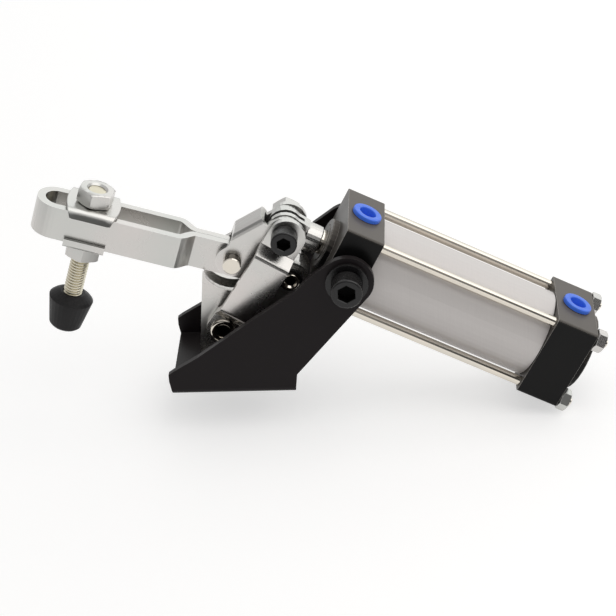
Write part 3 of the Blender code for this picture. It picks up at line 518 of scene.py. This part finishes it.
finishOf = {
    "black_paint": blackSteel, "zinc": zinc, "bright_steel": brightSteel, "black_screw": blackScrew,
    "black_aluminium": blackAnodised, "satin_aluminium": makeSatinTube(tubeSettings),
    "blue_plastic": makeBlue(blueSettings), "black_rubber": makeRubber(rubberSettings),
}
print("tube, plastic and rubber ready")

# Broken edges on the carried-over solids: flat facets join up, then the corners get a small bevel
bevelSettings = {
    "width": 0.00035, "segments": 2, "corner": radians(32), "smooth": radians(30), "flat": radians(0.6),
}
wideBevels = {"u_bar": 0.0006, "link_near": 0.0005, "link_far": 0.0005, "knuckle_channel": 0.0005,
              "base_channel": 0.0005, "front_head": 0.0004, "rear_cap": 0.0005}
cutEdges = {"front_head": cutAluminium, "rear_cap": cutAluminium}


# Smooth shading that keeps edges sharper than the given angle
def makeSmoothing(angle):
    tree = bpy.data.node_groups.new("smoothByAngle", "GeometryNodeTree")
    tree.interface.new_socket("Geometry", in_out="INPUT", socket_type="NodeSocketGeometry")
    tree.interface.new_socket("Geometry", in_out="OUTPUT", socket_type="NodeSocketGeometry")
    start = tree.nodes.new("NodeGroupInput")
    end = tree.nodes.new("NodeGroupOutput")
    faces = tree.nodes.new("GeometryNodeSetShadeSmooth")
    faces.domain = "FACE"
    edges = tree.nodes.new("GeometryNodeSetShadeSmooth")
    edges.domain = "EDGE"
    edges.inputs["Shade Smooth"].default_value = False
    edgeAngle = tree.nodes.new("GeometryNodeInputMeshEdgeAngle")
    compare = tree.nodes.new("FunctionNodeCompare")
    compare.data_type = "FLOAT"
    compare.operation = "GREATER_THAN"
    compare.inputs[1].default_value = angle
    tree.links.new(edgeAngle.outputs["Unsigned Angle"], compare.inputs[0])
    tree.links.new(compare.outputs[0], edges.inputs["Selection"])
    tree.links.new(start.outputs[0], faces.inputs["Geometry"])
    tree.links.new(faces.outputs[0], edges.inputs["Geometry"])
    tree.links.new(edges.outputs[0], end.inputs[0])
    return tree


smoothing = makeSmoothing(bevelSettings["smooth"])


def soften(piece, s, width, edgeFinish=None):
    flat = piece.modifiers.new("flatten", "DECIMATE")
    flat.decimate_type = "DISSOLVE"
    flat.angle_limit = s["flat"]
    bevel = piece.modifiers.new("edge", "BEVEL")
    bevel.width = width
    bevel.segments = s["segments"]
    bevel.limit_method = "ANGLE"
    bevel.angle_limit = s["corner"]
    bevel.harden_normals = False
    if edgeFinish:
        piece.data.materials.append(edgeFinish)
        bevel.material = 1  # the second material, which the cut edges show
    smooth = piece.modifiers.new("smooth", "NODES")
    smooth.node_group = smoothing


# Closes, welds and names a mesh that was built in bmesh
def finishPiece(name, work):
    bmesh.ops.remove_doubles(work, verts=work.verts, dist=weldDistance)
    bmesh.ops.dissolve_degenerate(work, edges=work.edges, dist=weldDistance)
    bmesh.ops.holes_fill(work, edges=[e for e in work.edges if e.is_boundary], sides=0)
    bmesh.ops.recalc_face_normals(work, faces=work.faces)
    mesh = bpy.data.meshes.new(name)
    work.to_mesh(mesh)
    work.free()
    piece = bpy.data.objects.new(name, mesh)
    scene.collection.objects.link(piece)
    return piece


# Faces between rings of equally many points
def joinRings(work, rings, columns):
    for lower, upper in zip(rings, rings[1:]):
        for i in range(columns):
            j = (i + 1) % columns
            work.faces.new((lower[i], lower[j], upper[j], upper[i]))


# A body made of rings round an axis. Each row has a height and a radius, and the radius may be a
# function of the angle. Rows end on the axis, or come back to the first row round a hole.
def turnedPiece(name, rows, columns, origin, along, aside):
    third = along.cross(aside)
    work = bmesh.new()
    rings = []
    for height, radius in rows:
        ring = []
        for i in range(columns):
            angle = 2 * pi * i / columns
            reach = radius(angle) if callable(radius) else radius
            out = aside * (reach * cos(angle)) + third * (reach * sin(angle))
            ring.append(work.verts.new(origin + along * height + out))
        rings.append(ring)
    joinRings(work, rings, columns)
    return finishPiece(name, work)


# A new piece stands in for a solid, rides on its body and takes its material slot
def dressPiece(piece, replaced, body, slotName, finish=None):
    piece.data.materials.append(finish or finishOf[slotName])
    smooth = piece.modifiers.new("smooth", "NODES")
    smooth.node_group = smoothing
    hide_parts(replaced)
    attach(piece, body)
    return piece


# The inside of a bore or socket is painted dark, as painted shade where shade falls in it. Depths run out from the
# clamp's middle.
boreSettings = {"facingOut": 0.5, "slack": 0.0001, "floorShare": 0.8}


def darkenBore(piece, s, centre, along):
    piece.data.materials.append(paintedBoreShade)
    for face in piece.data.polygons:
        place = face.center - centre
        depth = abs(place.dot(along))
        reach = (place - along * place.dot(along)).length
        if reach < s["boreRadius"] and depth > s["boreLow"]:
            outward = face.normal.dot(along) * (1 if place.dot(along) > 0 else -1)
            wall = outward < boreSettings["facingOut"] or depth < s["boreLow"] + boreSettings["slack"]
            floor = reach < s["boreRadius"] * boreSettings["floorShare"]
            face.material_index = 1 if wall or floor else 0


# A rod with a helical thread between two heights. Its rows follow the helix, so the crests run clean.
def threadedRod(name, s, origin, along, aside):
    third = along.cross(aside)
    steps = s["rowsPerTurn"]
    columns = s["columns"]
    root = s["radius"] - s["threadDepth"]
    low, high = s["threadLow"], s["threadHigh"]
    work = bmesh.new()

    def vertexAt(i, j):
        height = low + (j + steps * i / columns) * s["pitch"] / steps
        reach = root + s["threadDepth"] * s["profileShares"][j % steps]
        if height <= low or height >= high:
            height = min(max(height, low), high)
            reach = root
        angle = 2 * pi * i / columns
        out = aside * (reach * cos(angle)) + third * (reach * sin(angle))
        return origin + along * height + out

    count = int((high - low) / s["pitch"] * steps) + 2 * steps
    grid = [[work.verts.new(vertexAt(i, j)) for j in range(-steps, count)] for i in range(columns)]
    for i in range(columns):
        shift = steps if i == columns - 1 else 0  # the last column meets the first one turn on
        nextColumn = grid[(i + 1) % columns]
        for j in range(count + steps - 1 - shift):
            work.faces.new((grid[i][j], nextColumn[j + shift], nextColumn[j + shift + 1], grid[i][j + 1]))
    bmesh.ops.remove_doubles(work, verts=work.verts, dist=weldDistance)
    loose = [v for v in work.verts if not v.link_faces]
    bmesh.ops.delete(work, geom=loose, context="VERTS")
    return finishPiece(name, work)


def hexRadius(flats):
    return lambda angle: flats / 2 / cos((angle + pi / 6) % (pi / 3) - pi / 6)


def knurlRadius(radius, depth, teeth):
    return lambda angle: radius - depth * (round(angle * teeth * 2 / (2 * pi)) % 2)


# Threaded stud that holds the rubber cap
spindleSettings = {
    "place": 0.0999, "radius": 0.0046, "threadDepth": 0.00075, "pitch": 0.0015, "rowsPerTurn": 6,
    "profileShares": (0.0, 0.5, 1.0, 1.0, 0.5, 0.0), "columns": 36,
    "threadLow": -0.0535, "threadHigh": 0.0172,
}
spindlePlace = barPivot + barAlong * spindleSettings["place"]
spindle = threadedRod("spindleThread", spindleSettings, spindlePlace, barUp, farSide)
dressPiece(spindle, "spindle", "bar", "zinc", studPlate)


# Socket screw with a knurled head, a rounded rim and a chamfered hexagonal socket
def socketScrew(name, s, origin, along):
    head, seat, top, socket = s["head"], s["seat"], s["seat"] + s["height"], s["socket"]
    rim, lead, deep = s["rim"], s["lead"], top - s["height"] * s["socketShare"]
    knurl = knurlRadius(head, s["knurlDepth"], s["columns"] // 2)
    rows = [(s["shank"][0][1], 0.0)]
    rows += [(height, radius) for radius, height in s["shank"]]
    rows += [(seat, head - rim / 2), (seat + rim / 2, head), (seat + rim, knurl), (top - 2 * rim, knurl)]
    rows += [(top - s["neckShare"] * rim, head)]
    rows += [(top - rim * (1 - sin(a)), head - rim * (1 - cos(a))) for a in roundSteps]
    rows += [(top, hexRadius(socket + 2 * lead)), (top - lead, hexRadius(socket)), (deep, hexRadius(socket))]
    rows += [(deep - s["pit"], 0.0)]
    screw = turnedPiece(name, rows, s["columns"], origin, along, lengthwise)
    return screw


# One screw through the top of the links. A shank is rows of radius and height.
topScrewSettings = {
    "seat": 0.0109, "height": 0.0080, "head": 0.0063, "rim": 0.0007, "neckShare": 1.6, "socket": 0.0060,
    "lead": 0.00025, "socketShare": 0.55, "pit": 0.0008, "knurlDepth": 0.00012, "columns": 96,
    "shank": ((0.0036, -0.0188), (0.0040, -0.0184), (0.0040, 0.0109)),
    "boreRadius": 0.0036, "boreLow": 0.0140,
}
topScrew = socketScrew("linkScrew", topScrewSettings, topPivot, nearSide)
dressPiece(topScrew, "link_top_screw", "link", "black_screw")
darkenBore(topScrew, topScrewSettings, topPivot, nearSide)

# Two shouldered screws as the cylinder's trunnions
trunnionSettings = {
    "seat": 0.0316, "height": 0.0095, "head": 0.0075, "rim": 0.0009, "neckShare": 1.6, "socket": 0.0080,
    "lead": 0.0003, "socketShare": 0.55, "pit": 0.0010, "knurlDepth": 0.00014, "columns": 96,
    "shank": ((0.0046, 0.0130), (0.0050, 0.0134), (0.0050, 0.0223), (0.0060, 0.0223), (0.0060, 0.0316)),
    "boreRadius": 0.0048, "boreLow": 0.0350,
}
for side, way in (("near", nearSide), ("far", farSide)):
    screw = socketScrew(side + "TrunnionScrew", trunnionSettings, trunnionPivot, way)
    dressPiece(screw, "trunnion_screw_" + side, "cylinder", "black_screw")
    darkenBore(screw, trunnionSettings, trunnionPivot, way)

# Push-in collars: a flat ring with soft edges round a funnel that ends in a seat
collarSettings = {
    "radius": 0.0072, "hole": 0.0041, "seat": 0.0223, "top": 0.0243, "soft": 0.0005, "neck": 0.0062,
    "low": 0.0153, "floor": 0.0178, "floorHole": 0.0026, "columns": 64,
    "places": {"front": -0.0008, "rear": 0.1122},
}


def pushInCollar(name, s, origin):
    soft = [(s["soft"] * (1 - sin(a)), s["soft"] * (1 - cos(a))) for a in softSteps]
    rows = [(s["low"], s["floorHole"]), (s["low"], s["neck"]), (s["seat"], s["neck"])]
    rows += [(s["seat"], s["radius"])]
    rows += [(s["top"] - down, s["radius"] - back) for down, back in soft]
    rows += [(s["top"] - down, s["hole"] + back) for down, back in soft[::-1]]
    rows += [(s["floor"], s["hole"] - s["soft"]), (s["floor"], s["floorHole"]), rows[0]]
    return turnedPiece(name, rows, s["columns"], origin, tubeUp, farSide)


for side, place in collarSettings["places"].items():
    collar = pushInCollar(side + "Collar", collarSettings, trunnionPivot + tubeAlong * place)
    dressPiece(collar, "port_fitting_" + side, "cylinder", "blue_plastic")
print("spindle, screws and collars made")

# Hexagon nuts with chamfered corners and a countersunk hole
chamferSettings = {"steps": 4, "rise": 0.7, "spread": 1.4, "columns": 72}


def hexNut(name, s, origin, along, aside):
    c = chamferSettings
    flats, low, high, hole = s["flats"], s["low"], s["high"], s["hole"]
    step = (flats / 2 / cos(pi / 6) - flats / 2) / c["steps"]

    def coneAt(k):
        reach = flats / 2 * s["crown"] + k * step * c["spread"]
        return lambda angle: min(hexRadius(flats)(angle), reach)

    rows = [(low, hole + s["lead"])]
    rows += [(low + k * step * c["rise"], coneAt(k)) for k in range(c["steps"] + 1)]
    rows += [(high - k * step * c["rise"], coneAt(k)) for k in range(c["steps"], -1, -1)]
    rows += [(high, hole + s["lead"]), (high - s["lead"], hole), (low + s["lead"], hole), rows[0]]
    return turnedPiece(name, rows, c["columns"], origin, along, aside)


def turned(vector, axis, angle):
    return (Matrix.Rotation(angle, 3, axis) @ vector).normalized()


nutSettings = {
    "upper": {"flats": 0.0160, "low": 0.0107, "high": 0.0182, "hole": 0.0043, "lead": 0.0009,
              "crown": 0.97, "turn": radians(20.6)},
    "lower": {"flats": 0.0160, "low": -0.0186, "high": -0.0111, "hole": 0.0043, "lead": 0.0009,
              "crown": 1.07, "turn": radians(33)},
    "link": {"flats": 0.0130, "low": 0.0109, "high": 0.0174, "hole": 0.0037, "lead": 0.0006,
             "crown": 0.99},
    "tie": {"flats": 0.0098, "low": 0.1228, "high": 0.1274, "hole": 0.0021, "lead": 0.0005,
            "crown": 1.0, "count": 4},
}
for side in ("upper", "lower"):
    s = nutSettings[side]
    nut = hexNut(side + "Nut", s, spindlePlace, barUp, turned(farSide, barUp, s["turn"]))
    dressPiece(nut, side + "_nut", "bar", "zinc")
linkNut = hexNut("linkNut", nutSettings["link"], topPivot, farSide, lengthwise)
dressPiece(linkNut, "link_top_nut", "link", "zinc")

# Each tie rod's nut stands round the middle of the solid that it replaces
for number in range(1, nutSettings["tie"]["count"] + 1):
    node = frame["nodes"]["tie_nut_%d" % number]
    corners = [node.matrix_world @ v.co - trunnionPivot for v in node.data.vertices]
    across = sum(p.y for p in corners) / len(corners)
    upward = sum(p.dot(tubeUp) for p in corners) / len(corners)
    centre = trunnionPivot + farSide * across + tubeUp * upward
    nut = hexNut("tieNut%d" % number, nutSettings["tie"], centre, tubeAlong, tubeUp)
    dressPiece(nut, "tie_nut_%d" % number, "cylinder", "zinc")

# Upper saddle washer: a round washer with two sides bent down over the bar's edges
washerSettings = {
    "halfLong": 0.0130, "halfWide": 0.0228, "reach": 0.0151, "hole": 0.0052, "flat": 0.0096, "bend": 0.0013,
    "sheet": 0.0019, "lean": radians(66), "soft": 0.0003, "rings": 18, "columns": 96, "seat": 0.0085,
    "leastSine": 0.001,
}


def bentWasher(name, s, origin):
    def placed(across, along, depth):  # depth runs from the outside of the sheet to its inside
        out = s["bend"] + s["sheet"] - depth
        past = max(abs(across) - s["flat"], 0)
        lean = min(past / (s["bend"] + s["sheet"] / 2), s["lean"])
        straight = past - lean * (s["bend"] + s["sheet"] / 2)
        side = min(abs(across), s["flat"]) + out * sin(lean) + straight * cos(lean)
        rise = s["seat"] - s["bend"] + out * cos(lean) - straight * sin(lean)
        return origin + farSide * side * (1 if across > 0 else -1) + barAlong * along + barUp * rise

    def edgeAt(angle):
        oval = 1 / sqrt((cos(angle) / s["halfLong"]) ** 2 + (sin(angle) / s["halfWide"]) ** 2)
        return min(oval, s["reach"] / max(abs(sin(angle)), s["leastSine"]))

    # each row has a share of the way from hole to edge, a shift and a depth
    soft = s["soft"]
    shares = [k / (s["rings"] - 1) for k in range(s["rings"])]
    rows = [(0.0, 0.0, soft), (0.0, soft, 0.0)] + [(k, 0.0, 0.0) for k in shares[1:-1]]
    rows += [(1.0, -soft, 0.0), (1.0, 0.0, soft), (1.0, 0.0, s["sheet"] - soft), (1.0, -soft, s["sheet"])]
    rows += [(k, 0.0, s["sheet"]) for k in shares[-2:0:-1]] + [(0.0, 0.0, s["sheet"]), (0.0, 0.0, soft)]
    work = bmesh.new()
    rings = []
    for share, shift, depth in rows:
        ring = []
        for i in range(s["columns"]):
            angle = 2 * pi * i / s["columns"]
            reach = s["hole"] + (edgeAt(angle) - s["hole"]) * share + shift
            ring.append(work.verts.new(placed(reach * sin(angle), reach * cos(angle), depth)))
        rings.append(ring)
    joinRings(work, rings, s["columns"])
    return finishPiece(name, work)


washer = bentWasher("saddleWasher", washerSettings, spindlePlace)
dressPiece(washer, "saddle_washer_top", "bar", "zinc")
print("nuts and saddle washer made")


# A pin that is alike on both sides of the clamp, from the rows of one half
def doublePin(name, s, half, origin, replaced):
    rows = [(-height, radius) for height, radius in half[::-1]] + half
    pin = turnedPiece(name, rows, s["columns"], origin, nearSide, lengthwise)
    dressPiece(pin, replaced, "frame", "bright_steel")
    darkenBore(pin, s, origin, nearSide)


# Riveted pin of the long links, with a rolled rim round a blind bore
rivetSettings = {
    "radius": 0.0050, "rimRadius": 0.0062, "bore": 0.0034, "seat": 0.0109, "end": 0.0123,
    "rollShare": 0.45, "boreDepth": 0.0065, "tip": 0.001, "columns": 48,
    "boreRadius": 0.0038, "boreLow": 0.0050,
}


def rivetHalf(s):
    middle = (s["rimRadius"] + s["bore"]) / 2
    half = [(s["seat"], s["radius"]), (s["seat"], s["rimRadius"])]
    half += [(s["seat"] + (s["end"] - s["seat"]) * (s["rollShare"] + (1 - s["rollShare"]) * sin(a)),
              middle + (s["rimRadius"] - middle) * cos(a)) for a in (*roundSteps, 2.0, 2.5, pi)]
    floor = s["end"] - s["boreDepth"]
    return half + [(floor, s["bore"]), (floor - s["tip"], 0.0)]


doublePin("linkRivet", rivetSettings, rivetHalf(rivetSettings), linkPivot, "link_pivot_pin")

# Pin of the bar, with a groove for the clip and a deep countersunk centre at each end
pinSettings = {
    "radius": 0.0042, "groove": 0.0034, "grooveLow": 0.00875, "grooveHigh": 0.00995, "end": 0.01175,
    "soft": 0.0005, "sink": 0.0030, "sinkDepth": 0.0008, "bore": 0.0022, "depth": 0.0060, "tip": 0.0007,
    "columns": 48, "boreRadius": 0.0031, "boreLow": 0.0040,
}


def pinHalf(s):
    half = [(s["grooveLow"], s["radius"]), (s["grooveLow"], s["groove"])]
    half += [(s["grooveHigh"], s["groove"]), (s["grooveHigh"], s["radius"])]
    half += [(s["end"] - s["soft"] * (1 - sin(a)), s["radius"] - s["soft"] * (1 - cos(a)))
             for a in softSteps]
    half += [(s["end"], s["sink"]), (s["end"] - s["sinkDepth"], s["bore"])]
    floor = s["end"] - s["depth"]
    return half + [(floor, s["bore"]), (floor - s["tip"], 0.0)]


doublePin("barPin", pinSettings, pinHalf(pinSettings), barPivot, "bar_pivot_pin")
print("pins made")

# The carried-over solids get their finish and their broken edges
slotOf = {row["node"]: row["material_slot"] for row in frame["record"]["subparts"]}
for name, node in frame["nodes"].items():
    node.data.materials.clear()
    node.data.materials.append(finishOf[slotOf[name]])
    soften(node, bevelSettings, wideBevels.get(name, bevelSettings["width"]), cutEdges.get(name))
print("carried-over solids dressed")


# One for a ray from the camera, off a mirror or through glass, and nothing for a ray of soft light
def seenDirectly(tree):
    path = tree.nodes.new("ShaderNodeLightPath")
    first = addNode(tree, "ShaderNodeMath", operation="MAXIMUM")
    second = addNode(tree, "ShaderNodeMath", operation="MAXIMUM")
    tree.links.new(path.outputs["Is Camera Ray"], first.inputs[0])
    tree.links.new(path.outputs["Is Glossy Ray"], first.inputs[1])
    tree.links.new(first.outputs[0], second.inputs[0])
    tree.links.new(path.outputs["Is Transmission Ray"], second.inputs[1])
    return second.outputs[0]


# Floor that keeps the shadow and looks white where nothing shades it
def makeFloor(s, low):
    mesh = bpy.data.meshes.new("floor")
    work = bmesh.new()
    bmesh.ops.create_grid(work, x_segments=1, y_segments=1, size=s["floorSize"])
    work.to_mesh(mesh)
    work.free()
    floor = bpy.data.objects.new("floor", mesh)
    scene.collection.objects.link(floor)
    floor.location = (0, 0, low - s["floorDrop"])
    material, tree, shader = newMaterial("paleFloor")
    shader.inputs["Base Color"].default_value = (*s["floorColour"], 1)
    shader.inputs["Roughness"].default_value = s["floorRoughness"]
    shader.inputs["Specular IOR Level"].default_value = s["floorSpecular"]
    shader.inputs["Emission Color"].default_value = (1, 1, 1, 1)
    glow = addNode(tree, "ShaderNodeMath", operation="MULTIPLY")
    glow.inputs[1].default_value = s["floorGlow"]
    tree.links.new(seenDirectly(tree), glow.inputs[0])
    tree.links.new(glow.outputs[0], shader.inputs["Emission Strength"])
    mesh.materials.append(material)


# White studio. Mirrored rays see it a little greyer, with a dark room low on the camera's side.
def makeSky(s):
    world = bpy.data.worlds.new("studio")
    scene.world = world
    world.use_nodes = True
    tree = world.node_tree
    tree.nodes.clear()
    out = tree.nodes.new("ShaderNodeOutputWorld")
    sky = addNode(tree, "ShaderNodeBackground", Strength=s["skyStrength"])
    sky.inputs["Color"].default_value = (*s["skyColour"], 1)
    backdrop = tree.nodes.new("ShaderNodeBackground")
    backdrop.inputs["Color"].default_value = (1, 1, 1, 1)
    place = tree.nodes.new("ShaderNodeTexCoord")
    split = tree.nodes.new("ShaderNodeSeparateXYZ")
    tree.links.new(place.outputs["Generated"], split.inputs[0])
    inFront = mapRange(tree, split.outputs[1], *s["roomSide"], 0.0, 1.0)
    below = mapRange(tree, split.outputs[2], *s["roomTop"], 1.0, 0.0)
    roomSky = s["mirrorSky"] * (1 - s["roomShade"])
    mirrored = mapRange(tree, multiply(tree, inFront, below), 0.0, 1.0, s["mirrorSky"], roomSky)
    path = tree.nodes.new("ShaderNodeLightPath")
    strength = tree.nodes.new("ShaderNodeMix")
    tree.links.new(path.outputs["Is Glossy Ray"], strength.inputs[0])
    strength.inputs[2].default_value = 1.0
    tree.links.new(mirrored, strength.inputs[3])
    tree.links.new(strength.outputs[0], backdrop.inputs["Strength"])
    mix = tree.nodes.new("ShaderNodeMixShader")
    tree.links.new(seenDirectly(tree), mix.inputs[0])
    tree.links.new(sky.outputs[0], mix.inputs[1])
    tree.links.new(backdrop.outputs[0], mix.inputs[2])
    tree.links.new(mix.outputs[0], out.inputs[0])


makeCamera(cameraSettings)
makeSky(lightSettings)
makeLamp("key", lightSettings)
makeLamp("back", lightSettings)
makeFloor(lightSettings, cadBounds[0][2])
scene.view_settings.view_transform = "Standard"
print("camera, light and floor ready")
